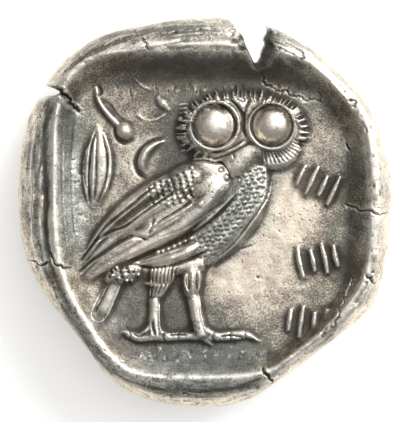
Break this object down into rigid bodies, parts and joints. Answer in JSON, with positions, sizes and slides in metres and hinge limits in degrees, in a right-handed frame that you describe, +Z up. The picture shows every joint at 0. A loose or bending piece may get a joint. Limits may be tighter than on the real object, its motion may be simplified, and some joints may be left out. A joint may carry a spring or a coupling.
{
  "type": "ancient silver coin",
  "caption": "Thick hand-struck silver coin of uneven outline, with a standing owl in a sunk square on top and a helmeted head beneath.",
  "frame": {"origin": "centre of the coin's bounding box in plan, on the surface that the worn high points of the underside rest on", "axes": "+Z up through the coin, out of the owl side; +Y towards the owl's head; +X towards the owl's breast"},
  "size_m": [0.0238, 0.025, 0.0059],
  "materials": {
    "silver": "toned old silver, satin, with brown dirt in the hollows"
  },
  "bodies": {
    "root": {"coin": "silver"}
  },
  "joints": []
}
